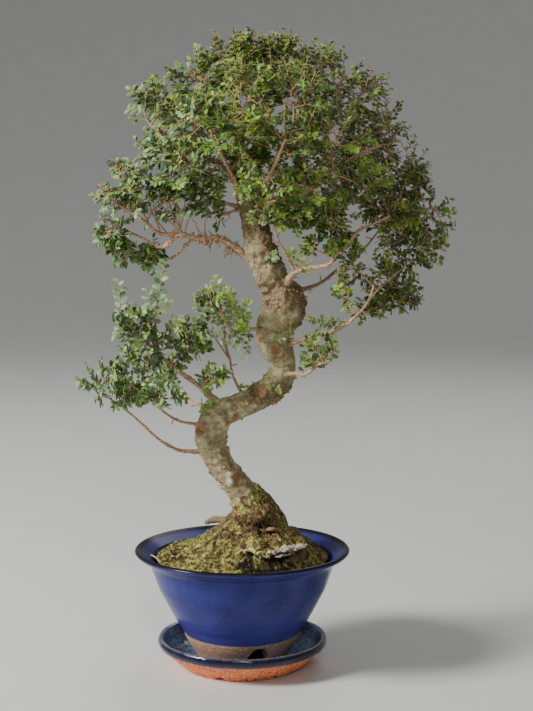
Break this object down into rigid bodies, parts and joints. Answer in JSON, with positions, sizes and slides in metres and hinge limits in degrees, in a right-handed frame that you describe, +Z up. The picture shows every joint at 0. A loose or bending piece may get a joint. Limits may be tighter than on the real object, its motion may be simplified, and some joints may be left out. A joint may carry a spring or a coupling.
{
  "type": "potted bonsai elm tree",
  "caption": "Small-leaved bonsai elm with a curved trunk, layered leafy branches and a domed crown, planted in a flared glazed bowl on a saucer.",
  "frame": {"origin": "middle of the saucer's flat underside", "axes": "+Z up; the front of the tree, as it is shown, faces -Y; +X to the viewer's right"},
  "size_m": [0.4008, 0.2727, 0.6757],
  "materials": {
    "saucer": "gloss",
    "pot": "gloss",
    "drain_mesh": "matte",
    "soil": "crumbly, matte",
    "moss": "fibrous, matte",
    "bark": "rough bark",
    "leaf": "leaf, satin"
  },
  "bodies": {
    "root": {"saucer": "saucer", "pot": "pot", "drain_mesh": "drain_mesh", "soil": "soil", "moss": "moss", "trunk": "bark", "spray_01": "leaf", "spray_02": "leaf", "spray_03": "leaf", "spray_04": "leaf", "spray_05": "leaf", "spray_06": "leaf", "spray_07": "leaf", "spray_08": "leaf", "spray_09": "leaf", "spray_10": "leaf", "spray_11": "leaf", "spray_12": "leaf", "spray_13": "leaf", "spray_14": "leaf", "spray_15": "leaf", "spray_16": "leaf", "spray_17": "leaf", "spray_18": "leaf", "spray_19": "leaf", "spray_20": "leaf", "spray_21": "leaf", "spray_22": "leaf", "spray_23": "leaf", "spray_24": "leaf", "spray_25": "leaf", "spray_26": "leaf", "spray_27": "leaf", "spray_28": "leaf", "spray_29": "leaf", "spray_30": "leaf", "spray_31": "leaf", "spray_32": "leaf", "spray_33": "leaf", "spray_34": "leaf", "spray_35": "leaf", "spray_36": "leaf", "spray_37": "leaf", "spray_38": "leaf", "spray_39": "leaf", "spray_40": "leaf", "spray_41": "leaf", "spray_42": "leaf", "spray_43": "leaf", "spray_44": "leaf"}
  },
  "joints": []
}
